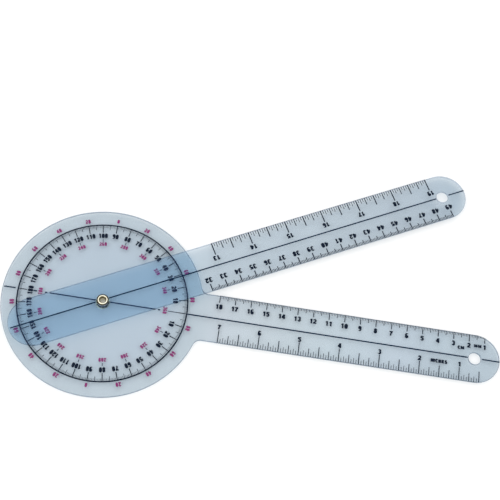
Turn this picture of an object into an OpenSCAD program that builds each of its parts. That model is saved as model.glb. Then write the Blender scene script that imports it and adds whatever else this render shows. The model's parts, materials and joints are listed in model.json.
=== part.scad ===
// Full-circle plastic goniometer for measuring joint angles.
// A clear printed dial is made in one piece with its stationary arm. A clear
// moving arm lies on the dial and turns on a hollow brass eyelet.
// Origin: the pivot axis, at the underside of the dial.
// +X runs along the stationary arm and +Z points to the reader.

/* [Plastic sheets] */
// Thickness of the dial and of both arms
sheet_t = 1.5; // [1:0.1:2.5]
// Diameter of the dial
dial_d = 126; // [125:0.5:140]
// Width of both arms
arm_w = 31.75; // [28:0.25:36]
// Distance from the pivot to the tip of each arm
arm_reach = 252.4; // [248:0.1:256]
// Distance from the pivot to the end of the moving arm's tail
tail_reach = 60.2; // [40:0.1:62]
// Radius of the two fillets where the dial meets the stationary arm
neck_r = 5; // [2:0.5:12]
// Diameter of the hanging hole in each arm
hang_hole_d = 7.9; // [5:0.1:9]
// Angle from the stationary arm to the moving arm at rest
rest_angle = 28; // [0:0.1:359]

/* [Eyelet and washers] */
// Diameter of the hole through the eyelet
eyelet_bore_d = 3.6; // [3:0.1:3.8]
// Outside diameter of the eyelet's barrel
eyelet_barrel_d = 4.4; // [4.2:0.1:5]
// Diameter of the eyelet's front flange
eyelet_flange_d = 7.8; // [7:0.1:9]
// Height of the front flange above the moving arm
eyelet_flange_h = 0.8; // [0.5:0.1:1.2]
// Diameter of the rolled end at the back
eyelet_roll_d = 6.6; // [6:0.1:8]
// Height of the rolled end at the back
eyelet_roll_h = 0.6; // [0.4:0.1:1]
// Radial clearance between the barrel and every hole on it
barrel_gap = 0.05; // [0.02:0.01:0.1]
// Axial clearance on each side of the moving arm
face_gap = 0.05; // [0.03:0.01:0.2]
// Outside diameter of the brass washer at the back
back_washer_d = 9; // [8.5:0.1:12]
// Thickness of the brass washer at the back
back_washer_t = 0.3; // [0.2:0.05:0.6]
// Outside diameter of the film washer between the dial and the arm
film_washer_d = 7.2; // [7:0.1:8]
// Thickness of the film washer between the dial and the arm
film_washer_t = 0.2; // [0.1:0.05:0.4]

/* [Printed dial] */
// Thickness of every printed layer
ink_t = 0.03; // [0.02:0.01:0.05]
// Radius of the middle of the printed ring
ring_r = 53.15; // [50:0.05:55]
// Width of the printed ring
ring_w = 0.9; // [0.3:0.05:1]
// Length of the marks at every ten degrees
ten_degree_len = 5; // [4:0.1:6]
// Length of the marks at every five degrees
five_degree_len = 2.8; // [2:0.1:4]
// Length of the marks at every degree
one_degree_len = 1.5; // [1:0.1:2]
// Width of the marks at every ten degrees
ten_degree_w = 0.58; // [0.3:0.02:0.8]
// Width of the marks at every five degrees
five_degree_w = 0.36; // [0.2:0.02:0.6]
// Width of the marks at every degree
one_degree_w = 0.22; // [0.1:0.02:0.4]
// Width of the short dashes between the dial's numerals
dash_w = 0.46; // [0.2:0.02:0.6]

/* [Printed rulers] */
// Width of the index lines
index_line_w = 0.86; // [0.4:0.02:1]
// Width of the inch, half inch and centimetre marks
bold_line_w = 0.58; // [0.3:0.02:0.8]
// Width of the half centimetre and quarter inch marks
middle_line_w = 0.46; // [0.2:0.02:0.6]
// Width of the shortest marks
fine_line_w = 0.32; // [0.1:0.02:0.4]
// Width of the line printed along each ruled edge
edge_line_w = 0.12; // [0.08:0.01:0.3]
// How much wider the marks are printed on the moving arm
moving_print_gain = 1.3; // [1:0.02:1.4]
// Length of the marks at every centimetre
cm_mark_len = 4.9; // [4:0.1:6]
// Length of the marks at every half centimetre
half_cm_mark_len = 3; // [2:0.1:4]
// Length of the marks at every millimetre
mm_mark_len = 1.9; // [1:0.1:2]
// Length of the marks at every inch
inch_mark_len = 8.5; // [8:0.1:9]

/* [Hidden] */
$fn = 96;

inch = 25.4;
cm = 10;
dial_r = dial_d / 2;
tip_r = arm_w / 2;
hang_hole_x = arm_reach - tip_r;

// How far each neck fillet bites into the dial, so that the two arcs cross.
fillet_bite = 0.01;

// Heights of the faces, counted from the underside of the dial.
dial_top = sheet_t;
arm_bottom = dial_top + film_washer_t + face_gap;
arm_top = arm_bottom + sheet_t;
flange_seat = arm_top + face_gap;
roll_seat = -back_washer_t;

barrel_hole_r = eyelet_barrel_d / 2 + barrel_gap;
film_washer_hole_r = eyelet_barrel_d / 2 + 2 * barrel_gap;

// Where the index lines start and stop.
line_start = eyelet_flange_d / 2 + 0.3;
line_hole_gap = hang_hole_d / 2 + 0.6;
dial_line_end = 33.4;
tail_line_end = tail_reach - 1;
inner_dash = [34.9, 36.4];
outer_dash = [41.3, 43.6];
numeral_dash = [41.2, 42.9];
zero_line_end = ring_r - ring_w / 2 - ten_degree_len - 0.05;
rim_mark = [54.8, 62.1];

// Inch marks by how many sixteenths they fall on, longest first:
// [sixteenths, part of the inch mark's length, line width].
inch_steps = [
    [16, 1, bold_line_w],
    [8, 0.87, bold_line_w],
    [4, 0.63, middle_line_w],
    [2, 0.43, fine_line_w],
    [1, 0.31, fine_line_w]
];
sixteenth = inch / 16;

// First and last mark of each ruler, in sixteenths of an inch and in
// millimetres. The two arms opened out make one continuous ruler.
fixed_inch_range = [8, 112];
moving_inch_range = [208, 304];
fixed_mm_range = [10, 180];
moving_mm_range = [320, 490];

// ------------------------------------------------------------ outlines

// An arm's outline along +X: straight sides and a round tip.
module arm_outline(start_x) {
    translate([start_x, -tip_r]) square([hang_hole_x - start_x, arm_w]);
    translate([hang_hole_x, 0]) circle(tip_r);
}

// Material between the dial's rim and one edge of the stationary arm.
module neck_fillet() {
    neck_y = tip_r + neck_r;
    reach = dial_r + neck_r - fillet_bite;
    neck_x = sqrt(reach * reach - neck_y * neck_y);
    touch = dial_r / reach;
    difference() {
        polygon([[0, 0], [neck_x, tip_r], [neck_x, neck_y], [neck_x * touch, neck_y * touch]]);
        translate([neck_x, neck_y]) circle(neck_r);
    }
}

// The stationary arm's outline, from inside the dial to its tip.
module fixed_arm_outline() {
    arm_outline(dial_r / 2);
}

// The moving arm's outline in its own place, before it is turned.
module moving_arm_outline() {
    arm_outline(tip_r - tail_reach);
    translate([tip_r - tail_reach, 0]) circle(tip_r);
}

// Turns and lifts what belongs to the moving arm.
module on_moving_arm(z) {
    rotate([0, 0, rest_angle]) translate([0, 0, z]) children();
}

// ------------------------------------------------------------ printed marks

// Points of a comb: a strip below the X axis with teeth that hang from it.
// marks holds [position, length, width] in rising order of position.
function comb_points(marks) = concat(
    [[marks[0][0] - marks[0][2] / 2, 0]],
    [for (m = marks)
        each [[m[0] - m[2] / 2, -edge_line_w], [m[0] - m[2] / 2, -m[1]],
              [m[0] + m[2] / 2, -m[1]], [m[0] + m[2] / 2, -edge_line_w]]],
    [[marks[len(marks) - 1][0] + marks[len(marks) - 1][2] / 2, 0]]);

// The length and width of the inch mark at a number of sixteenths.
function inch_mark(n) =
    let (fits = [for (s = inch_steps) if (n % s[0] == 0) s])
    [fits[0][1] * inch_mark_len, fits[0][2]];

// The length and width of the metric mark at a number of millimetres.
function mm_mark(n) =
    n % 10 == 0 ? [cm_mark_len, bold_line_w]
    : n % 5 == 0 ? [half_cm_mark_len, middle_line_w]
    : [mm_mark_len, fine_line_w];

// A mark of the moving arm's rulers, which are printed a little wider.
function heavier(mark) = [mark[0], mark[1], mark[2] * moving_print_gain];

// Rows of marks, [position, length, width], along an arm from the pivot.
// On the stationary arm the ruler counts from the tip towards the pivot.
function fixed_inch_marks() =
    [for (n = [fixed_inch_range[1]:-1:fixed_inch_range[0]])
        concat([arm_reach - n * sixteenth], inch_mark(n))];
function fixed_mm_marks() =
    [for (n = [fixed_mm_range[1]:-1:fixed_mm_range[0]])
        concat([arm_reach - n], mm_mark(n))];
function moving_inch_marks() =
    [for (n = [moving_inch_range[0]:moving_inch_range[1]])
        heavier(concat([n * sixteenth - arm_reach], inch_mark(n)))];
function moving_mm_marks() =
    [for (n = [moving_mm_range[0]:moving_mm_range[1]])
        heavier(concat([n - arm_reach], mm_mark(n)))];

// A ruler printed along one edge of an arm and trimmed to its outline.
// side is 1 for the +Y edge and -1 for the -Y edge.
module ruler(marks, side) {
    linear_extrude(ink_t)
        intersection() {
            scale_place(side) polygon(comb_points(marks));
            arm_outline(tip_r);
        }
}

// Puts a comb on the +Y edge of an arm, or mirrors it onto the -Y edge.
module scale_place(side) {
    if (side > 0) {
        translate([0, tip_r]) children();
    } else {
        mirror([0, 1]) translate([0, tip_r]) children();
    }
}

// A printed line along X from one distance to another.
module line(from, to, width) {
    translate([from, -width / 2, 0]) cube([to - from, width, ink_t]);
}

// A length for the degree mark at a whole number of degrees.
function degree_len(d) =
    d % 10 == 0 ? ten_degree_len
    : d % 5 == 0 ? five_degree_len
    : one_degree_len;

// A width for the degree mark at a whole number of degrees.
function degree_width(d) =
    d % 10 == 0 ? ten_degree_w
    : d % 5 == 0 ? five_degree_w
    : one_degree_w;

// A point at a distance from the pivot, turned sideways by half a width.
function polar(r, angle, side) =
    [r * cos(angle) - side * sin(angle), r * sin(angle) + side * cos(angle)];

// Inner edge of the printed ring, with one tooth inwards at each degree.
ring_inner_points = [for (d = [0:359])
    let (r = ring_r - ring_w / 2, half = degree_width(d) / 2, tooth = r - degree_len(d))
    each [polar(r, d, -half), polar(tooth, d, -half),
          polar(tooth, d, half), polar(r, d, half)]];

// ------------------------------------------------------------ real pieces

// Dial and stationary arm, cut from one sheet.
module dial_with_fixed_arm() {
    color([0.73, 0.8, 0.84, 0.5])
        difference() {
            linear_extrude(sheet_t) {
                circle(dial_r, $fn = 180);
                fixed_arm_outline();
                neck_fillet();
                mirror([0, 1]) neck_fillet();
            }
            translate([0, 0, -1]) cylinder(h = sheet_t + 2, r = barrel_hole_r);
            translate([hang_hole_x, 0, -1]) cylinder(h = sheet_t + 2, d = hang_hole_d);
        }
}

// Moving arm with its tail, cut from one sheet.
module moving_arm() {
    color([0.68, 0.77, 0.84, 0.5])
        on_moving_arm(arm_bottom)
            difference() {
                linear_extrude(sheet_t) moving_arm_outline();
                translate([0, 0, -1]) cylinder(h = sheet_t + 2, r = barrel_hole_r);
                translate([hang_hole_x, 0, -1]) cylinder(h = sheet_t + 2, d = hang_hole_d);
            }
}

// Half an ellipse from the bore to a flange's edge, or back again.
// It swells away from the height seat by the height given, down if negative.
function dome_points(bore_r, edge_r, seat, height, angles) =
    let (mid = (bore_r + edge_r) / 2, half = (edge_r - bore_r) / 2)
    [for (a = angles) [mid + half * cos(a), seat + height * sin(a)]];

// Hollow brass eyelet: barrel, domed front flange and rolled back end.
module pivot_eyelet() {
    bore_r = eyelet_bore_d / 2;
    barrel_r = eyelet_barrel_d / 2;
    section = concat(
        dome_points(bore_r, eyelet_flange_d / 2, flange_seat, eyelet_flange_h, [180:-10:0]),
        [[barrel_r, flange_seat], [barrel_r, roll_seat]],
        dome_points(bore_r, eyelet_roll_d / 2, roll_seat, -eyelet_roll_h, [0:10:180]));
    color([0.78, 0.68, 0.42]) rotate_extrude() polygon(section);
}

// A flat ring that stands on z = 0.
module washer(outer_d, hole_r, thickness) {
    difference() {
        cylinder(h = thickness, d = outer_d);
        translate([0, 0, -1]) cylinder(h = thickness + 2, r = hole_r);
    }
}

// Brass washer that the rolled end is closed on.
module back_washer() {
    color([0.76, 0.66, 0.4])
        translate([0, 0, -back_washer_t])
            washer(back_washer_d, barrel_hole_r, back_washer_t);
}

// Thin film washer that keeps the two sheets apart.
module film_washer() {
    color([0.9, 0.92, 0.93, 0.6])
        translate([0, 0, dial_top])
            washer(film_washer_d, film_washer_hole_r, film_washer_t);
}

// ------------------------------------------------------------ printed layers

// Ring of the dial with a mark at every degree.
module dial_degree_ring() {
    color([0.1, 0.13, 0.18])
        translate([0, 0, dial_top])
            linear_extrude(ink_t)
                difference() {
                    circle(ring_r + ring_w / 2, $fn = 180);
                    polygon(ring_inner_points);
                }
}

// Centre line of the dial and of the stationary arm, with the dashes that
// tie the numerals of the two rings together.
module dial_index_line() {
    color([0.1, 0.13, 0.18])
        translate([0, 0, dial_top]) {
            for (side = [0, 180]) {
                rotate([0, 0, side]) {
                    line(line_start, dial_line_end, index_line_w);
                    line(inner_dash[0], inner_dash[1], index_line_w);
                }
            }
            for (angle = [20:20:160]) {
                for (side = [-1, 1]) {
                    rotate([0, 0, side * angle]) line(numeral_dash[0], numeral_dash[1], dash_w);
                }
            }
            rotate([0, 0, 180]) {
                line(outer_dash[0], outer_dash[1], index_line_w);
                line(rim_mark[0], rim_mark[1], index_line_w);
            }
            line(outer_dash[0], zero_line_end, dash_w);
            line(ring_r + ring_w / 2, hang_hole_x - line_hole_gap, index_line_w);
            line(hang_hole_x + line_hole_gap, arm_reach, index_line_w);
        }
}

module fixed_arm_inch_marks() {
    color([0.1, 0.13, 0.18])
        translate([0, 0, dial_top]) ruler(fixed_inch_marks(), -1);
}

module fixed_arm_cm_marks() {
    color([0.1, 0.13, 0.18])
        translate([0, 0, dial_top]) ruler(fixed_mm_marks(), 1);
}

// Centre line of the moving arm, from its tail to its tip.
module moving_arm_index_line() {
    color([0.1, 0.13, 0.18])
        on_moving_arm(arm_top) {
            line(-tail_line_end, -line_start, index_line_w);
            line(line_start, hang_hole_x - line_hole_gap, index_line_w);
            line(hang_hole_x + line_hole_gap, arm_reach, index_line_w);
        }
}

module moving_arm_inch_marks() {
    color([0.1, 0.13, 0.18])
        on_moving_arm(arm_top) ruler(moving_inch_marks(), 1);
}

module moving_arm_cm_marks() {
    color([0.1, 0.13, 0.18])
        on_moving_arm(arm_top) ruler(moving_mm_marks(), -1);
}

dial_with_fixed_arm();
moving_arm();
pivot_eyelet();
back_washer();
film_washer();
dial_degree_ring();
dial_index_line();
fixed_arm_inch_marks();
fixed_arm_cm_marks();
moving_arm_index_line();
moving_arm_inch_marks();
moving_arm_cm_marks();
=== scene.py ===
"""Looks for the clear plastic goniometer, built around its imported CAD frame."""
import json
import math

import bmesh
import bpy
from mathutils import Euler, Matrix, Vector
from mathutils.geometry import delaunay_2d_cdt


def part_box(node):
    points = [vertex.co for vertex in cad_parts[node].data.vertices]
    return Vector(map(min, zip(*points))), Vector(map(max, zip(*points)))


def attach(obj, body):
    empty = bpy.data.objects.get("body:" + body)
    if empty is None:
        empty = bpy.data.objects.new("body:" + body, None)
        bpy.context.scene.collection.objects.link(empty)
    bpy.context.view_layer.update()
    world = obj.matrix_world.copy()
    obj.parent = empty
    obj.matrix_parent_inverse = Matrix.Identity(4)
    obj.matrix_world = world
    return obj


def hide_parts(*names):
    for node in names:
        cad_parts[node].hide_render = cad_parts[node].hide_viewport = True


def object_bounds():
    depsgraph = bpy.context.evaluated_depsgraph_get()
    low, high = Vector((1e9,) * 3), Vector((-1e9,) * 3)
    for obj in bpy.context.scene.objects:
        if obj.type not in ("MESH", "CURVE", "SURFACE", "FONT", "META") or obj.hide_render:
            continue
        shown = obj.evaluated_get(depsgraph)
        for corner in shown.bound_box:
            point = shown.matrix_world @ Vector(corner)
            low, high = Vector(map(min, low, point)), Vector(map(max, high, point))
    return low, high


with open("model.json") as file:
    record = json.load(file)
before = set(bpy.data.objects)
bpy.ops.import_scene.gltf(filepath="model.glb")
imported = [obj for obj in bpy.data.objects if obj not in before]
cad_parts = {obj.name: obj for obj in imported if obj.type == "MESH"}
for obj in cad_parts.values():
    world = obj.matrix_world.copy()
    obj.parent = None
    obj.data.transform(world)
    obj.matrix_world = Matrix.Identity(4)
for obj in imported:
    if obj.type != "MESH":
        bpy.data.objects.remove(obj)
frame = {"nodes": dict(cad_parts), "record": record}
cad_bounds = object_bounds()

# ---------------------------------------------------------------- sizes, in metres
MM = 0.001
MOUNTS = {m["name"]: m for m in frame["record"]["mounts"]}

dial_low, dial_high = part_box("dial_with_fixed_arm")
arm_low, arm_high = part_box("moving_arm")
eyelet_low, eyelet_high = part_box("pivot_eyelet")
washer_low, washer_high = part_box("back_washer")
ink_low, ink_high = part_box("dial_degree_ring")

DIAL_R = -dial_low.x
ARM_REACH = dial_high.x
HANG_X = MOUNTS["hang_hole_fixed_arm"]["pos_m"][0]
HANG_R = MOUNTS["hang_hole_fixed_arm"]["dims"]["r_mm"] * MM
BORE_R = MOUNTS["eyelet_bore"]["dims"]["r_mm"] * MM
TIP_R = ARM_REACH - HANG_X
ARM_AT = MOUNTS["hang_hole_moving_arm"]["pos_m"]
REST_ANGLE = math.atan2(ARM_AT[1], ARM_AT[0])
TAIL_REACH = TIP_R + (-arm_low.x - TIP_R) / math.cos(REST_ANGLE)
INK_T = ink_high.z - ink_low.z

BARREL_R = 2.2 * MM
BARREL_HOLE_R = 2.25 * MM
NECK_R = 5.0 * MM
EDGE_ROUND = 0.22 * MM
SKIN = 0.004 * MM  # keeps faces that would lie in one plane apart
INCH_MM = 25.4
CM_MM = 10

TURN_TO_REST = Matrix.Rotation(REST_ANGLE, 4, "Z")


# ---------------------------------------------------------------- materials
def new_material(name):
    """A material with its node tree and its Principled shader."""
    material = bpy.data.materials.new(name)
    material.use_nodes = True
    return material, material.node_tree, material.node_tree.nodes["Principled BSDF"]


def noise(tree, scale, detail=3.0, stretch=(1, 1, 1), roughness=0.55):
    """A noise texture that stays with its piece; stretch scales each axis."""
    place = tree.nodes.new("ShaderNodeTexCoord")
    mapping = tree.nodes.new("ShaderNodeMapping")
    mapping.inputs["Scale"].default_value = stretch
    texture = tree.nodes.new("ShaderNodeTexNoise")
    texture.inputs["Scale"].default_value = scale
    texture.inputs["Detail"].default_value = detail
    texture.inputs["Roughness"].default_value = roughness
    tree.links.new(place.outputs["Object"], mapping.inputs["Vector"])
    tree.links.new(mapping.outputs["Vector"], texture.inputs["Vector"])
    return texture.outputs["Fac"]


def ramp(tree, value, stops):
    """Colours along a value: stops holds (position, (r, g, b))."""
    node = tree.nodes.new("ShaderNodeValToRGB")
    elements = node.color_ramp.elements
    while len(elements) < len(stops):
        elements.new(0.5)
    for element, (position, colour) in zip(elements, stops):
        element.position = position
        element.color = (*colour, 1)
    tree.links.new(value, node.inputs["Fac"])
    return node.outputs["Color"]


def span(tree, value, low, high, from_low=0.3, from_high=0.7):
    """A value spread over a range; a noise lies mostly between 0.3 and 0.7."""
    node = tree.nodes.new("ShaderNodeMapRange")
    node.inputs["From Min"].default_value = from_low
    node.inputs["From Max"].default_value = from_high
    node.inputs["To Min"].default_value = low
    node.inputs["To Max"].default_value = high
    tree.links.new(value, node.inputs["Value"])
    return node.outputs["Result"]


def bump(tree, height, strength, distance, below=None):
    """A bumped normal, on top of another one if below is given."""
    node = tree.nodes.new("ShaderNodeBump")
    node.inputs["Strength"].default_value = strength
    node.inputs["Distance"].default_value = distance
    tree.links.new(height, node.inputs["Height"])
    if below is not None:
        tree.links.new(below, node.inputs["Normal"])
    return node.outputs["Normal"]


def mixed(tree, share, first, second):
    """A Mix Shader; share is a number or the output of a node."""
    node = tree.nodes.new("ShaderNodeMixShader")
    if isinstance(share, float):
        node.inputs["Fac"].default_value = share
    else:
        tree.links.new(share, node.inputs["Fac"])
    tree.links.new(first, node.inputs[1])
    tree.links.new(second, node.inputs[2])
    return node.outputs["Shader"]


def from_axis(tree):
    """The distance from the pivot's axis."""
    place = tree.nodes.new("ShaderNodeTexCoord")
    split = tree.nodes.new("ShaderNodeSeparateXYZ")
    flat = tree.nodes.new("ShaderNodeCombineXYZ")
    length = tree.nodes.new("ShaderNodeVectorMath")
    length.operation = "LENGTH"
    tree.links.new(place.outputs["Object"], split.inputs["Vector"])
    for axis in "XY":
        tree.links.new(split.outputs[axis], flat.inputs[axis])
    tree.links.new(flat.outputs["Vector"], length.inputs[0])
    return length.outputs["Value"]


def by_distance(tree, stops):
    """Colours by the distance from the pivot's axis: stops holds (distance in
    mm, (r, g, b)), from the axis outwards."""
    reach = stops[-1][0]
    across = span(tree, from_axis(tree), 0, 1, 0, reach * MM)
    return ramp(tree, across, [(distance / reach, colour) for distance, colour in stops])


def colour_mix(tree, blend="MIX"):
    """A node that mixes two colours."""
    mix = tree.nodes.new("ShaderNodeMix")
    mix.data_type = "RGBA"
    mix.blend_type = blend
    return mix


def multiplied(tree, first, second):
    """Two colours multiplied."""
    mix = colour_mix(tree, "MULTIPLY")
    mix.inputs["Factor"].default_value = 1.0
    tree.links.new(first, mix.inputs["A"])
    tree.links.new(second, mix.inputs["B"])
    return mix.outputs["Result"]


RIM_BLUR = 0.2 * MM  # half the width over which the moving arm's tint changes


def within_dial(tree, outside, inside):
    """One colour on the part of the moving arm that lies over the dial and
    another outside it. Both sheets hold back the same part of the light, so
    the second one that the light meets takes away less."""
    rim = span(tree, from_axis(tree), 0, 1, DIAL_R - RIM_BLUR, DIAL_R + RIM_BLUR)
    mix = colour_mix(tree)
    mix.inputs["A"].default_value = (*inside, 1)
    tree.links.new(rim, mix.inputs["Factor"])
    tree.links.new(outside, mix.inputs["B"])
    return mix.outputs["Result"]


GLANCING_POWER = 5.0
MIRROR_SHARE = (0.01, 0.7)  # how much a sheet mirrors, seen straight on and along it


def sheet_material(name, tints_and_shade, haze, haze_share, over_tint=None):
    """Clear tinted sheet. Light goes straight through it and takes its tint at
    each face; a little is scattered by haze and a little is mirrored. The colour
    stops give (distance from the pivot in mm, (r, g, b)): the sheet's tint, with
    painted light and shade in how it changes with distance."""
    material, tree, shader = new_material(name)
    waves = bump(tree, noise(tree, 55, 1), 0.25, 0.00003)
    scratches = noise(tree, 30, 4, (2, 60, 1), 0.7)
    cross = noise(tree, 30, 4, (55, 3, 1), 0.7)
    lined = bump(tree, scratches, 0.12, 0.000012, waves)
    worn = bump(tree, cross, 0.1, 0.00001, lined)
    smudge = noise(tree, 75, 4, (1, 1.6, 1))

    clear = tree.nodes.new("ShaderNodeBsdfTransparent")
    mottle = ramp(tree, noise(tree, 38, 2), [(0.35, (0.992,) * 3), (0.65, (1.0,) * 3)])
    colour = multiplied(tree, by_distance(tree, tints_and_shade), mottle)
    if over_tint:
        colour = within_dial(tree, colour, over_tint)
    tree.links.new(colour, clear.inputs["Color"])
    shader.inputs["Base Color"].default_value = (*haze, 1)
    tree.links.new(span(tree, smudge, 0.3, 0.5), shader.inputs["Roughness"])
    tree.links.new(worn, shader.inputs["Normal"])

    mirror = tree.nodes.new("ShaderNodeBsdfGlossy")
    tree.links.new(span(tree, smudge, 0.02, 0.08), mirror.inputs["Roughness"])
    tree.links.new(worn, mirror.inputs["Normal"])
    facing = tree.nodes.new("ShaderNodeLayerWeight")
    facing.inputs["Blend"].default_value = 0.5
    steep = tree.nodes.new("ShaderNodeMath")
    steep.operation = "POWER"
    steep.inputs[1].default_value = GLANCING_POWER
    tree.links.new(facing.outputs["Facing"], steep.inputs[0])
    share = span(tree, steep.outputs[0], *MIRROR_SHARE, 0.0, 1.0)
    body = mixed(tree, haze_share, clear.outputs["BSDF"], shader.outputs["BSDF"])
    surface = mixed(tree, share, body, mirror.outputs["BSDF"])
    tree.links.new(surface, tree.nodes["Material Output"].inputs["Surface"])
    return material


def ink_material(name, colour, worn):
    """Screen-printed ink: a thin, slightly uneven film."""
    material, tree, shader = new_material(name)
    grain = noise(tree, 2600, 3)
    patches = ramp(tree, grain, [(0.42, colour), (0.72, worn)])
    dry = span(tree, noise(tree, 900, 3), 0.38, 0.6)
    grit = bump(tree, noise(tree, 5200, 2), 0.25, 0.000008)
    tree.links.new(patches, shader.inputs["Base Color"])
    tree.links.new(dry, shader.inputs["Roughness"])
    tree.links.new(grit, shader.inputs["Normal"])
    shader.inputs["Specular IOR Level"].default_value = 0.06
    return material


def brass_material(name, bright, plain, dull, rough=(0.14, 0.34), rings=None):
    """Brass with tarnish that gathers in patches, and fine turning lines. rough
    is its least and greatest roughness; rings holds (radius in mm, shade) of
    painted shade, from the axis outwards."""
    material, tree, shader = new_material(name)
    colour = ramp(tree, noise(tree, 420, 5), [(0.3, bright), (0.55, plain), (0.75, dull)])
    shader.inputs["Metallic"].default_value = 1.0
    if rings:
        colour = multiplied(tree, colour, by_distance(tree, rings))
    tree.links.new(colour, shader.inputs["Base Color"])
    tree.links.new(span(tree, noise(tree, 700, 4), *rough), shader.inputs["Roughness"])
    pits = bump(tree, noise(tree, 1500, 4), 0.35, 0.00002)
    lines = bump(tree, noise(tree, 300, 2, (1, 1, 14)), 0.3, 0.00001, pits)
    tree.links.new(lines, shader.inputs["Normal"])
    return material


def film_material(name):
    """Milky film of the washer between the two sheets."""
    material, tree, shader = new_material(name)
    cloud = noise(tree, 600, 3)
    milk = ramp(tree, cloud, [(0.3, (0.72, 0.76, 0.78)), (0.7, (0.86, 0.88, 0.88))])
    tree.links.new(milk, shader.inputs["Base Color"])
    tree.links.new(span(tree, cloud, 0.45, 0.65), shader.inputs["Roughness"])
    tree.links.new(bump(tree, noise(tree, 2500, 3), 0.2, 0.00001), shader.inputs["Normal"])
    shader.inputs["Alpha"].default_value = 0.45
    return material


# Tints of the sheets and of their cut edges: (distance from the pivot in mm,
# (r, g, b)). Light takes a sheet's tint four times on its way down and up. How
# a sheet's tint changes with distance is painted light and shade: it evens out
# the shade that the print casts and darkens the sheets towards the arms' tips.
DIAL_TINTS_AND_SHADE = [
    (0, (0.823, 0.858, 0.885)), (36, (0.823, 0.858, 0.885)), (60, (0.840, 0.871, 0.888)),
    (74, (0.861, 0.884, 0.900)), (110, (0.857, 0.885, 0.899)), (150, (0.851, 0.884, 0.901)),
    (190, (0.844, 0.876, 0.899)), (212, (0.832, 0.867, 0.888)), (253, (0.828, 0.862, 0.882)),
]
ARM_TINTS_AND_SHADE = [
    (0, (0.848, 0.881, 0.898)), (88, (0.848, 0.881, 0.898)), (150, (0.841, 0.873, 0.889)),
    (212, (0.832, 0.865, 0.884)), (232, (0.822, 0.859, 0.880)), (246, (0.806, 0.847, 0.870)),
]
ARM_OVER_DIAL_TINT = (0.900, 0.964, 1.0)
# The cut edges' deep tints are painted shade, for the dark line along the edge of a clear sheet.
DIAL_EDGE_PAINTED_SHADE = [(0, (0.492, 0.552, 0.612)), (253, (0.492, 0.552, 0.612))]
ARM_EDGE_PAINTED_SHADE = [(0, (0.663, 0.713, 0.773)), (253, (0.663, 0.713, 0.773))]
EDGE_HAZE = (0.2, 0.4, 0.6)
EDGE_HAZE_SHARE = 0.03

# Painted shade of the eyelet: (distance from the axis in mm, (r, g, b)). The
# mouth and the foot of the flange are painted dark as shade, and the rolled lip
# between them is left bright as a painted highlight.
EYELET_PAINTED_SHADE = [
    (0, (0.3, 0.27, 0.2)), (1.9, (0.3, 0.27, 0.2)), (2.35, (0.22, 0.2, 0.14)),
    (2.5, (1.0, 1.0, 1.0)), (3.0, (1.0, 1.0, 1.0)),
    (3.15, (0.045, 0.04, 0.03)), (4.0, (0.045, 0.04, 0.03)),
]

DIAL_SHEET = sheet_material(
    "clear_dial_sheet", DIAL_TINTS_AND_SHADE, haze=(0.02, 0.3, 1.0), haze_share=0.008)
ARM_SHEET = sheet_material(
    "clear_arm_sheet", ARM_TINTS_AND_SHADE, haze=(0.0, 0.2, 1.0), haze_share=0.012,
    over_tint=ARM_OVER_DIAL_TINT)
DIAL_EDGE = sheet_material("dial_cut_edge_painted_shade", DIAL_EDGE_PAINTED_SHADE, EDGE_HAZE, EDGE_HAZE_SHARE)
ARM_EDGE = sheet_material("arm_cut_edge_painted_shade", ARM_EDGE_PAINTED_SHADE, EDGE_HAZE, EDGE_HAZE_SHARE)
BLACK_INK = ink_material("black_ink", (0.003, 0.007, 0.018), (0.010, 0.018, 0.036))
INDEX_INK = ink_material("index_ink", (0.001, 0.011, 0.034), (0.004, 0.022, 0.055))
MAGENTA_INK = ink_material("magenta_ink", (0.18, 0.028, 0.115), (0.26, 0.06, 0.18))
WASHER_BRASS = brass_material(
    "washer_brass", (0.93, 0.87, 0.66), (0.8, 0.72, 0.47), (0.52, 0.44, 0.24))
# Pale, glossy brass for the deep part of the eyelet's bore: painted light, which makes that
# shaded part of the bore show bright.
PAINTED_LIGHT_BORE_BRASS = brass_material(
    "bore_brass_painted_light", (0.97, 0.95, 0.82), (0.95, 0.91, 0.72), (0.85, 0.79, 0.55),
    rough=(0.05, 0.15))
# The eyelet's brass is paler than the washer's, partly as a painted highlight on its lip, and is
# darkened by painted shade in its mouth and at the foot of its flange.
BRASS = brass_material(
    "eyelet_brass", (0.98, 0.96, 0.84), (0.93, 0.9, 0.7), (0.72, 0.66, 0.44),
    rings=EYELET_PAINTED_SHADE)
FILM = film_material("film")


# ---------------------------------------------------------------- mesh helpers
def add_piece(name, mesh_data, materials, body, replaces=()):
    """Turns a bmesh into a piece that rides on a CAD body."""
    bmesh.ops.recalc_face_normals(mesh_data, faces=mesh_data.faces)
    mesh = bpy.data.meshes.new(name)
    mesh_data.to_mesh(mesh)
    mesh_data.free()
    for material in materials:
        mesh.materials.append(material)
    piece = bpy.data.objects.new(name, mesh)
    bpy.context.scene.collection.objects.link(piece)
    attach(piece, body)
    if replaces:
        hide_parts(*replaces)


def arc(centre, radius, start, end, count):
    """Points of an arc in the XY plane, both ends included; angles in radians."""
    angles = [start + (end - start) * i / count for i in range(count + 1)]
    return [(centre[0] + radius * math.cos(a), centre[1] + radius * math.sin(a)) for a in angles]


SAME_POINT = 1e-7


def joined(*paths):
    """One closed loop from several paths, without doubled points."""
    loop = []
    for path in paths:
        for point in path:
            if not loop or math.dist(point, loop[-1]) > SAME_POINT:
                loop.append(point)
    if math.dist(loop[0], loop[-1]) < SAME_POINT:
        loop.pop()
    return loop


def straight(start, end, step=8 * MM):
    """Points of a straight edge, both ends included."""
    count = max(1, round(math.dist(start, end) / step))
    return [
        tuple(start[k] + (end[k] - start[k]) * i / count for k in (0, 1))
        for i in range(count + 1)
    ]


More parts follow.
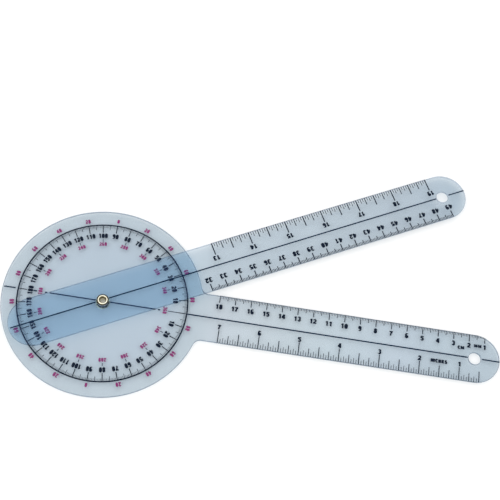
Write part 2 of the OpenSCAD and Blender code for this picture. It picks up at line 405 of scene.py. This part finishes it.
def inward(loop):
    """Unit vectors at each point of a loop, to the left of the way it runs."""
    count = len(loop)
    result = []
    for i in range(count):
        before, after = loop[i - 1], loop[(i + 1) % count]
        along = (after[0] - before[0], after[1] - before[1])
        size = math.hypot(*along)
        result.append((-along[1] / size, along[0] / size))
    return result


ROUNDING_ANGLES = (90, 67.5, 45, 22.5, 0)
SECOND_MATERIAL = 1  # of a piece: its cut edges, or the eyelet's bore


def plate(loops, low, high, rounding):
    """A sheet with rounded cut edges. The first loop is its outline and runs
    counter-clockwise; the others are holes and run clockwise."""
    data = bmesh.new()
    levels = []
    for degrees in ROUNDING_ANGLES:
        angle = math.radians(degrees)
        level = low + rounding * (1 - math.sin(angle))
        levels.append((level, rounding * (1 - math.cos(angle))))
    levels += [(high + low - z, inset) for z, inset in reversed(levels)]
    caps = {0: [], len(levels) - 1: []}
    for loop in loops:
        normals = inward(loop)
        rings = []
        for z, inset in levels:
            rings.append([
                data.verts.new((p[0] + n[0] * inset, p[1] + n[1] * inset, z))
                for p, n in zip(loop, normals)
            ])
        for below, above in zip(rings, rings[1:]):
            for i in range(len(loop)):
                j = (i + 1) % len(loop)
                side = data.faces.new((below[i], below[j], above[j], above[i]))
                side.smooth = True
                side.material_index = SECOND_MATERIAL
        for level in caps:
            ring = rings[level]
            for i in range(len(loop)):
                caps[level].append(data.edges.get((ring[i], ring[(i + 1) % len(loop)])))
    for edges in caps.values():
        bmesh.ops.triangle_fill(data, edges=edges, use_beauty=True)
    return data


def revolve(section, segments=96):
    """A closed section of (radius, z) points turned around the Z axis."""
    data = bmesh.new()
    rings = []
    for i in range(segments):
        angle = 2 * math.pi * i / segments
        rings.append([
            data.verts.new((radius * math.cos(angle), radius * math.sin(angle), z))
            for radius, z in section
        ])
    for i in range(segments):
        here, there = rings[i], rings[(i + 1) % segments]
        for k in range(len(section)):
            m = (k + 1) % len(section)
            data.faces.new((here[k], there[k], there[m], here[m])).smooth = True
    return data


def smooth_section(points, per_span=4):
    """A closed Catmull-Rom curve through (radius, z) points."""
    count = len(points)
    result = []
    for i in range(count):
        a, b, c, d = (points[(i + k) % count] for k in (-1, 0, 1, 2))
        for s in range(per_span):
            t = s / per_span
            result.append(tuple(
                0.5 * (2 * b[k] + (c[k] - a[k]) * t
                       + (2 * a[k] - 5 * b[k] + 4 * c[k] - d[k]) * t * t
                       + (3 * b[k] - a[k] - 3 * c[k] + d[k]) * t * t * t)
                for k in (0, 1)))
    return result


# ---------------------------------------------------------------- the two sheets
def hole(x, radius, count):
    """A round hole's loop, which runs clockwise."""
    return arc((x, 0), radius, 0, -2 * math.pi, count)[:-1]


DIAL_SEGMENTS = 200
NECK_SEGMENTS = 14
TIP_SEGMENTS = 64
PIVOT_HOLE_SEGMENTS = 48
QUARTER = math.pi / 2

neck_y = TIP_R + NECK_R
neck_x = math.sqrt((DIAL_R + NECK_R) ** 2 - neck_y ** 2)
touch = math.atan2(neck_y, neck_x)

dial_outline = joined(
    arc((0, 0), DIAL_R, touch, 2 * math.pi - touch, DIAL_SEGMENTS),
    arc((neck_x, -neck_y), NECK_R, math.pi - touch, QUARTER, NECK_SEGMENTS),
    straight((neck_x, -TIP_R), (HANG_X, -TIP_R)),
    arc((HANG_X, 0), TIP_R, -QUARTER, QUARTER, TIP_SEGMENTS),
    straight((HANG_X, TIP_R), (neck_x, TIP_R)),
    arc((neck_x, neck_y), NECK_R, 3 * QUARTER, math.pi + touch, NECK_SEGMENTS),
)
sheet_holes = [
    hole(0, BARREL_HOLE_R, PIVOT_HOLE_SEGMENTS),
    hole(HANG_X, HANG_R, TIP_SEGMENTS),
]
add_piece(
    "dial_sheet",
    plate([dial_outline, *sheet_holes], dial_low.z, dial_high.z - SKIN, EDGE_ROUND),
    [DIAL_SHEET, DIAL_EDGE], "dial_body", ["dial_with_fixed_arm"])

tail_x = TIP_R - TAIL_REACH
arm_outline = joined(
    straight((tail_x, -TIP_R), (HANG_X, -TIP_R)),
    arc((HANG_X, 0), TIP_R, -QUARTER, QUARTER, TIP_SEGMENTS),
    straight((HANG_X, TIP_R), (tail_x, TIP_R)),
    arc((tail_x, 0), TIP_R, QUARTER, 3 * QUARTER, TIP_SEGMENTS),
)
arm_data = plate([arm_outline, *sheet_holes], arm_low.z, arm_high.z - SKIN, EDGE_ROUND)
bmesh.ops.transform(arm_data, matrix=TURN_TO_REST, verts=arm_data.verts)
add_piece(
    "arm_sheet", arm_data,
    [ARM_SHEET, ARM_EDGE], "moving_arm", ["moving_arm"])

# ---------------------------------------------------------------- eyelet and washer
SEAT_GAP = 0.05 * MM
ROLL_R = 3.3 * MM
# The bright wall below this depth is painted light.
PAINTED_LIGHT_BORE_DEPTH = 1.6 * MM  # this far below the seat the bright wall starts
BORE_WALL = 0.07 * MM

flange_r = eyelet_high.x
seat = arm_high.z + SEAT_GAP
top = eyelet_high.z
foot = eyelet_low.z
roll_seat = washer_low.z


def near(radius, level, offsets):
    """Section points given in mm from a radius and a level."""
    return [(radius + out * MM, level + up * MM) for out, up in offsets]


front = (
    near(BORE_R, seat, [(0, -1.0), (0, -0.45), (0.06, -0.05), (0.18, 0.3), (0.4, 0.6)])
    + near(BORE_R, top, [(0.68, -0.05), (0.95, -0.01), (1.17, -0.1)])
    + near(BORE_R, seat, [(1.34, 0.42), (1.6, 0.22)])
    + near(flange_r, seat, [(-0.2, 0.14), (-0.02, 0.08), (-0.1, 0.01), (-0.5, 0.01)])
    + near(BARREL_R, seat, [(0.35, 0.01)])
)
barrel = near(BARREL_R, seat, [(0, -0.12), (0, -1.2)]) + near(BARREL_R, 0, [(0, 0.9), (0, 0.1)])
back = (
    near(BARREL_R, roll_seat, [(0.02, 0.02), (0.4, -0.02)])
    + near(ROLL_R, roll_seat, [(-0.15, -0.03), (-0.01, -0.2)])
    + near(ROLL_R, foot, [(-0.2, 0.14), (-0.65, 0.01)])
    + near(BORE_R, foot, [(0.35, 0.06), (0.08, 0.25), (0, 0.6)])
    + near(BORE_R, 0, [(0, 0.6), (0, 1.6)])
)
eyelet_data = revolve(smooth_section(front + barrel + back))
# Faces deep in the bore take the pale brass: painted light.
for face in eyelet_data.faces:
    if all(vert.co.xy.length < BORE_R + BORE_WALL and vert.co.z < seat - PAINTED_LIGHT_BORE_DEPTH
           for vert in face.verts):
        face.material_index = SECOND_MATERIAL
add_piece(
    "eyelet", eyelet_data,
    [BRASS, PAINTED_LIGHT_BORE_BRASS], "dial_body", ["pivot_eyelet"])

washer_r = washer_high.x
washer_middle = (washer_low.z + washer_high.z) / 2
washer_section = (
    near(BARREL_HOLE_R, washer_low.z, [(0, 0.06), (0.06, 0)])
    + near(washer_r, washer_low.z, [(-0.5, 0), (-0.08, 0.02)])
    + [(washer_r, washer_middle)]
    + near(washer_r, washer_high.z, [(-0.08, -0.02)])
    + near(washer_r, washer_high.z - SKIN, [(-0.5, 0)])
    + near(BARREL_HOLE_R, washer_high.z - SKIN, [(0.06, 0)])
    + near(BARREL_HOLE_R, washer_high.z, [(0, -0.06)])
)
add_piece(
    "back_ring", revolve(washer_section),
    [WASHER_BRASS], "dial_body", ["back_washer"])

# ---------------------------------------------------------------- stroke font
# Each glyph is a list of strokes in a box 1 high and WIDE across. PEN is the
# width of a digit's strokes, LETTER_PEN that of a letter's and MAGENTA_PEN that
# of a magenta digit's. REACH is how far a bowl's stroke lies from the middle.
PEN = 0.28
LETTER_PEN = 0.34
MAGENTA_PEN = 0.26
HALF = PEN / 2
WIDE = 0.6
MID = WIDE / 2
REACH = MID - HALF


def bow(x, y, rx, ry, start, end, count=18):
    """Points of an elliptical arc; angles in degrees."""
    angles = [math.radians(start + (end - start) * i / count) for i in range(count + 1)]
    return [(x + rx * math.cos(a), y + ry * math.sin(a)) for a in angles]


def turned(strokes):
    """Strokes turned by half a turn in the glyph's box."""
    return [[(WIDE - x, 1 - y) for x, y in stroke] for stroke in strokes]


SIX = [
    bow(MID, 0.31, REACH, 0.22, 0, 360, 28),
    [(MID - REACH, 0.31), (MID - REACH, 0.62)]
    + bow(MID, 0.67, REACH, 0.24, 175, 40, 14),
]
GLYPHS = {
    "0": [bow(MID, 0.65, REACH, 0.26, 0, 180, 16)
          + bow(MID, 0.35, REACH, 0.26, 180, 360, 16) + [(MID + REACH, 0.65)]],
    "1": [[(0.37, 0), (0.37, 1)], [(0.11, 0.745), (0.2, 0.755), (0.29, 0.81), (0.35, 0.92)]],
    "2": [bow(MID, 0.68, REACH, 0.23, 172, -32, 16)
          + [(0.37, 0.46), (0.2, 0.3), (0.12, 0.17), (0.105, 0.08)],
          [(0.02, HALF), (WIDE - 0.02, HALF)]],
    "3": [bow(MID, 0.7, REACH - 0.01, 0.21, 165, -80, 16) + [(0.23, 0.5)],
          [(0.23, 0.52)] + bow(MID, 0.305, REACH, 0.215, 85, -165, 18)],
    "4": [[(0.41, 0), (0.41, 1)], [(0.37, 0.96), (0.08, 0.34)], [(0.02, 0.3), (WIDE, 0.3)]],
    "5": [[(0.1, 1 - HALF), (WIDE - 0.05, 1 - HALF)], [(0.14, 0.95), (0.115, 0.47)],
          bow(MID - 0.01, 0.315, REACH, 0.225, 142, -158, 22)],
    "6": SIX,
    "7": [[(0.01, 1 - HALF), (WIDE - 0.02, 1 - HALF)],
          [(0.49, 0.93), (0.36, 0.68), (0.255, 0.36), (0.22, 0)]],
    "8": [bow(MID, 0.705, REACH - 0.015, 0.2, 0, 360, 26),
          bow(MID, 0.3, REACH, 0.208, 0, 360, 26)],
    "9": turned(SIX),
    "C": [bow(MID, 0.65, REACH, 0.26, 15, 180, 14)
          + bow(MID, 0.35, REACH, 0.26, 180, 345, 14)],
    "M": [[(HALF, 0), (HALF, 1)], [(HALF, 0.98), (0.39, 0.06)], [(0.39, 0.06), (0.69, 0.98)],
          [(0.78 - HALF, 0), (0.78 - HALF, 1)]],
    "I": [[(MID, 0), (MID, 1)]],
    "N": [[(HALF, 0), (HALF, 1)], [(HALF, 0.98), (WIDE - HALF, 0.02)],
          [(WIDE - HALF, 0), (WIDE - HALF, 1)]],
    "H": [[(HALF, 0), (HALF, 1)], [(WIDE - HALF, 0), (WIDE - HALF, 1)],
          [(HALF, 0.5), (WIDE - HALF, 0.5)]],
    "E": [[(HALF, 0), (HALF, 1)], [(HALF, HALF), (WIDE, HALF)],
          [(HALF, 0.51), (WIDE - 0.05, 0.51)], [(HALF, 1 - HALF), (WIDE, 1 - HALF)]],
    "S": [bow(MID, 0.7, REACH - 0.01, 0.21, 20, 250, 16)
          + bow(MID, 0.305, REACH, 0.215, 70, -160, 18)],
}
OWN_WIDTH = {"I": 0.26, "M": 0.82}  # glyphs that aren't WIDE across
LEFT_GAP = {"I": 0.13}  # empty part of the box on a glyph's left


CLOSED_WITHIN = 1e-6
INSIDE_OUTLINES = 1  # the output type of delaunay_2d_cdt
MERGE_WITHIN = 1e-5


def ribbon(stroke, width):
    """Quads along a stroke, with mitred corners."""
    closed = math.dist(stroke[0], stroke[-1]) < CLOSED_WITHIN
    points = stroke[:-1] if closed else stroke
    count = len(points)
    sides = []
    for i, point in enumerate(points):
        before = points[i - 1] if closed or i else None
        after = points[(i + 1) % count] if closed or i < count - 1 else None
        ways = []
        for a, b in ((before, point), (point, after)):
            if a is not None and b is not None:
                size = math.dist(a, b)
                ways.append((-(b[1] - a[1]) / size, (b[0] - a[0]) / size))
        nx, ny = (sum(w[k] for w in ways) / len(ways) for k in (0, 1))
        size = nx * nx + ny * ny
        nx, ny = nx / size * width / 2, ny / size * width / 2
        sides.append(((point[0] + nx, point[1] + ny), (point[0] - nx, point[1] - ny)))
    quads = []
    for i in range(count if closed else count - 1):
        (a, b), (c, d) = sides[i], sides[(i + 1) % count]
        quads.append([a, b, d, c])
    return quads


def glyph_area(letter, pen):
    """The glyph as points and triangles that don't overlap."""
    points, faces = [], []
    for stroke in GLYPHS[letter]:
        for quad in ribbon(stroke, pen):
            faces.append(list(range(len(points), len(points) + 4)))
            points.extend(Vector(p) for p in quad)
    found = delaunay_2d_cdt(points, [], faces, INSIDE_OUTLINES, MERGE_WITHIN)
    return [tuple(p) for p in found[0]], [tuple(f) for f in found[2]]


AREAS = {}


def add_text(data, text, size, centre, along, up, low, pen=PEN):
    """Adds a line of print to data. size is its height, the width of a digit
    and the gap between digits, and centre is where its middle lies, all in
    millimetres; along and up are its unit directions in the XY plane, and low is
    the height of its underside in metres."""
    if not text.isdigit():
        pen = LETTER_PEN
    height, digit_width, gap = size
    stretch = digit_width / WIDE
    offsets, pen_x = [], 0.0
    for letter in text:
        offsets.append(pen_x)
        pen_x += OWN_WIDTH.get(letter, WIDE) * stretch + gap
    total = pen_x - gap
    for letter, offset in zip(text, offsets):
        if (letter, pen) not in AREAS:
            AREAS[letter, pen] = glyph_area(letter, pen)
        points, faces = AREAS[letter, pen]
        shift = LEFT_GAP.get(letter, 0.0)
        rings = []
        for z in (low, low + INK_T - SKIN):
            ring = []
            for x, y in points:
                u = (x - shift) * stretch + offset - total / 2
                v = (y - 0.5) * height
                ring.append(data.verts.new((
                    (centre[0] + u * along[0] + v * up[0]) * MM,
                    (centre[1] + u * along[1] + v * up[1]) * MM, z)))
            rings.append(ring)
        edges = {}
        for face in faces:
            data.faces.new([rings[1][i] for i in face])
            data.faces.new([rings[0][i] for i in reversed(face)])
            for i, j in zip(face, face[1:] + face[:1]):
                edges[(i, j)] = edges.get((i, j), 0) + 1
        for i, j in edges:
            if (j, i) not in edges:
                data.faces.new((rings[0][i], rings[0][j], rings[1][j], rings[1][i]))


DIAL_INK_Z = dial_high.z + SKIN
ARM_INK_Z = arm_high.z + SKIN


def dial_print(name, entries, radius, size, material, shift=(0, 0), pen=PEN):
    """Numerals around the dial with their tops outwards: entries are (degrees,
    text). shift is how far, in mm, this layer is printed out of register."""
    data = bmesh.new()
    for degrees, text in entries:
        angle = math.radians(degrees)
        out = (math.cos(angle), math.sin(angle))
        centre = (radius * out[0] + shift[0], radius * out[1] + shift[1])
        add_text(data, text, size, centre, (out[1], -out[0]), out, DIAL_INK_Z, pen)
    add_piece(name, data, [material], "dial_body")


# On the dial: how far each row's middle lies from the pivot, and its digits'
# height, width and gap.
DEGREE_ROW = 45.5
DEGREE_DIGITS = (3.12, 1.92, 0.12)
REFLEX_ROW = 39.3
REFLEX_DIGITS = (2.45, 1.5, 0.13)
NINETY_ROW = 56.15
NINETY_DIGITS = (2.75, 1.6, 0.13)
MAGENTA_SHIFT = (0, 0.3)
BOTH_SIDES = (1, -1)

dial_print(
    "dial_degree_numerals",
    [(side * n, str(n)) for n in range(10, 180, 10) for side in BOTH_SIDES] + [(180, "180")],
    DEGREE_ROW, DEGREE_DIGITS, BLACK_INK)
dial_print(
    "dial_reflex_numerals",
    [(side * n, str(360 - n)) for n in range(20, 180, 20) for side in BOTH_SIDES]
    + [(180, "180"), (0, "360")],
    REFLEX_ROW, REFLEX_DIGITS, MAGENTA_INK, MAGENTA_SHIFT, MAGENTA_PEN)
dial_print(
    "dial_ninety_numerals",
    [(side * n, str(abs(90 - n))) for n in range(10, 180, 20) for side in BOTH_SIDES],
    NINETY_ROW, NINETY_DIGITS, MAGENTA_INK, MAGENTA_SHIFT, MAGENTA_PEN)

# On the arms: the sizes of the numerals, the height of each row above the arm's
# middle line, and the unit words with their sizes and places.
FIXED_DIGITS = (3.2, 2.25, 0.15)
FIXED_CM_ROW = 8.25
FIXED_INCH_ROW = -5.35
MOVING_CM_DIGITS = (3.25, 2.3, 0.16)
MOVING_CM_ROW = -8.15
MOVING_INCH_DIGITS = (3.2, 2.28, 0.16)
MOVING_INCH_ROW = 5.0
UNIT_WORDS = [
    ("CM", (2.05, 1.7, 0.28), (227.4, 6.0)),
    ("MM", (2.0, 1.65, 0.28), (238.1, 8.6)),
    ("INCHES", (2.2, 1.65, 0.32), (213.9, -5.5)),
]
REACH_MM = ARM_REACH / MM


def add_row(data, numbers, place_of, row, size, way, low):
    """A row of numbers on an arm. place_of gives a number's place along it;
    way is 1 if the row reads outwards along the arm and -1 if it is turned."""
    for n in numbers:
        add_text(data, str(n), size, (place_of(n), row), (way, 0), (0, way), low)


fixed = bmesh.new()
add_row(fixed, range(1, 19), lambda n: REACH_MM - CM_MM * n,
        FIXED_CM_ROW, FIXED_DIGITS, 1, DIAL_INK_Z)
add_row(fixed, range(1, 8), lambda n: REACH_MM - INCH_MM * n,
        FIXED_INCH_ROW, FIXED_DIGITS, 1, DIAL_INK_Z)
for word, size, place in UNIT_WORDS:
    add_text(fixed, word, size, place, (1, 0), (0, 1), DIAL_INK_Z)
add_piece("fixed_arm_numerals", fixed, [BLACK_INK], "dial_body")

moving = bmesh.new()
add_row(moving, range(13, 20), lambda n: INCH_MM * n - REACH_MM,
        MOVING_INCH_ROW, MOVING_INCH_DIGITS, -1, ARM_INK_Z)
add_row(moving, range(32, 50), lambda n: CM_MM * n - REACH_MM,
        MOVING_CM_ROW, MOVING_CM_DIGITS, -1, ARM_INK_Z)
bmesh.ops.transform(moving, matrix=TURN_TO_REST, verts=moving.verts)
add_piece("moving_arm_numerals", moving, [BLACK_INK], "moving_arm")

# ---------------------------------------------------------------- CAD nodes that stay
NODE_MATERIALS = {
    "film_washer": FILM,
    "dial_degree_ring": BLACK_INK,
    "dial_index_line": INDEX_INK,
    "fixed_arm_inch_marks": BLACK_INK,
    "fixed_arm_cm_marks": BLACK_INK,
    "moving_arm_index_line": INDEX_INK,
    "moving_arm_inch_marks": BLACK_INK,
    "moving_arm_cm_marks": BLACK_INK,
}
for node_name, material in NODE_MATERIALS.items():
    for node_slot in frame["nodes"][node_name].material_slots:
        node_slot.material = material

# ---------------------------------------------------------------- floor, light, camera
FLOOR_R = 3.0
FLOOR_CENTRE = (0.08, 0, cad_bounds[0][2])
FLOOR_SHADES = [(0.3, (0.86, 0.86, 0.858)), (0.7, (0.87, 0.87, 0.868))]
SKY_SHADES = [(0.0, (0.8, 0.8, 0.8)), (1.0, (1.0, 1.0, 1.0))]  # horizon and zenith
SKY_STRENGTH = 1.265
AIM_POINT = (0.09, 0.02, 0)

floor_data = bmesh.new()
bmesh.ops.create_circle(
    floor_data, cap_ends=True, segments=96, radius=FLOOR_R,
    matrix=Matrix.Translation(FLOOR_CENTRE))
floor_mesh = bpy.data.meshes.new("floor")
floor_data.to_mesh(floor_mesh)
floor_data.free()
floor = bpy.data.objects.new("floor", floor_mesh)
bpy.context.scene.collection.objects.link(floor)
floor_material, floor_tree, floor_shader = new_material("pale_floor")
floor_tree.links.new(
    ramp(floor_tree, noise(floor_tree, 3, 2), FLOOR_SHADES), floor_shader.inputs["Base Color"])
floor_shader.inputs["Roughness"].default_value = 0.9
floor_shader.inputs["Specular IOR Level"].default_value = 0.1
floor_mesh.materials.append(floor_material)

world = bpy.data.worlds.new("studio")
world.use_nodes = True
sky_tree = world.node_tree
direction = sky_tree.nodes.new("ShaderNodeTexCoord")
split = sky_tree.nodes.new("ShaderNodeSeparateXYZ")
sky_tree.links.new(direction.outputs["Generated"], split.inputs["Vector"])
sky_tree.links.new(
    ramp(sky_tree, split.outputs["Z"], SKY_SHADES),
    sky_tree.nodes["Background"].inputs["Color"])
sky_tree.nodes["Background"].inputs["Strength"].default_value = SKY_STRENGTH
bpy.context.scene.world = world


def area_light(name, place, size, power):
    """A round lamp aimed at the middle of the goniometer."""
    light = bpy.data.lights.new(name, "AREA")
    light.shape = "DISK"
    light.size = size
    light.energy = power
    lamp = bpy.data.objects.new(name, light)
    bpy.context.scene.collection.objects.link(lamp)
    aim = (Vector(AIM_POINT) - Vector(place)).to_track_quat("-Z", "Y")
    lamp.matrix_world = Matrix.Translation(place) @ aim.to_matrix().to_4x4()


area_light("key_light", place=(-0.6, -0.7, 1.2), size=0.7, power=4.0)
area_light("fill_light", place=(0.9, -0.4, 1.1), size=1.2, power=0.5)

CAMERA_PLACE = (0.068974, -0.290428, 0.697578)
CAMERA_TURN = (25.6962, -5.04, 7.3844)  # degrees about X, Y and Z, from looking down
LENS = 86.488
SENSOR_WIDTH = 36
NEAR_CLIP = 0.01
FAR_CLIP = 20

camera_data = bpy.data.cameras.new("camera")
camera_data.lens = LENS
camera_data.sensor_width = SENSOR_WIDTH
camera_data.clip_start = NEAR_CLIP
camera_data.clip_end = FAR_CLIP
camera = bpy.data.objects.new("camera", camera_data)
bpy.context.scene.collection.objects.link(camera)
turn = Euler([math.radians(angle) for angle in CAMERA_TURN])
camera.matrix_world = Matrix.Translation(CAMERA_PLACE) @ turn.to_matrix().to_4x4()
bpy.context.scene.camera = camera
bpy.context.scene.view_settings.view_transform = "Standard"
